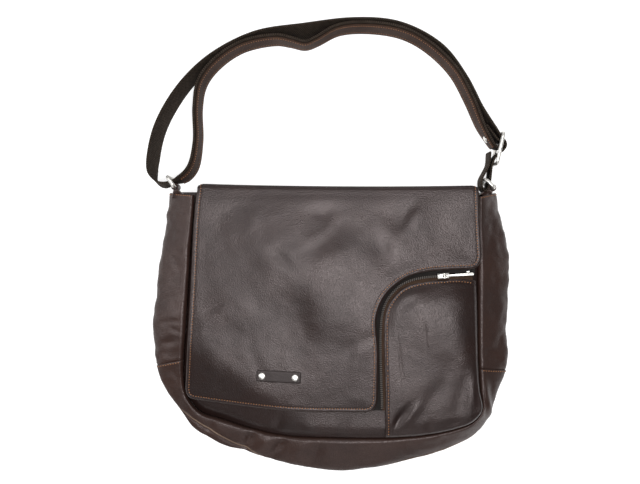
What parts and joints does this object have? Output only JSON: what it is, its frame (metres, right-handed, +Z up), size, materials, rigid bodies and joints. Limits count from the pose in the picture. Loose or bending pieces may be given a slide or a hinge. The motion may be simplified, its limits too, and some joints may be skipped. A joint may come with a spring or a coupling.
{
  "type": "messenger bag",
  "caption": "Leather messenger bag lying on its back, with a cut-away front flap, a curved zip pocket and an adjustable webbing strap lined with leather.",
  "frame": {"origin": "on the table, under the middle of the box round the bag and its laid-out strap", "axes": "+X to the right as the front of the bag is seen, +Y from the bag's bottom towards its flap fold and strap, +Z up from the table, out of the bag's front"},
  "size_m": [0.407, 0.5073, 0.0661],
  "materials": {
    "bag_leather": "dark brown oiled leather with a soft sheen",
    "strap_leather": "dark brown smooth leather strip",
    "webbing": "dark brown woven webbing",
    "zip_tape": "brown woven zip tape",
    "zip_coil": "dark coil zip",
    "nickel": "nickel plated, bright"
  },
  "bodies": {
    "bag": {"back_panel": "bag_leather", "gusset_left": "bag_leather", "gusset_bottom": "bag_leather", "gusset_right": "bag_leather", "front_panel": "bag_leather", "pocket_panel": "bag_leather", "flap": "bag_leather", "zip_tape_flap": "zip_tape", "zip_tape_pocket": "zip_tape", "zip_coil": "zip_coil", "zip_slider": "nickel", "zip_stop": "nickel", "label_patch": "bag_leather", "label_rivet_left": "nickel", "label_rivet_right": "nickel", "ring_left": "nickel", "ring_right": "nickel", "ring_tab_left": "bag_leather", "ring_tab_right": "bag_leather", "strap_webbing": "webbing", "strap_leather": "strap_leather", "strap_slide": "nickel", "strap_rivet": "nickel"},
    "zip_pull": {"zip_pull": "nickel"}
  },
  "joints": [
    {"name": "zip_pull_hinge", "type": "hinge", "parent": "bag", "child": "zip_pull", "pos_m": [0.1278, -0.0344, 0.06281], "axis": [0.0698, -0.9976, 0], "range_deg": [0, 165]}
  ]
}
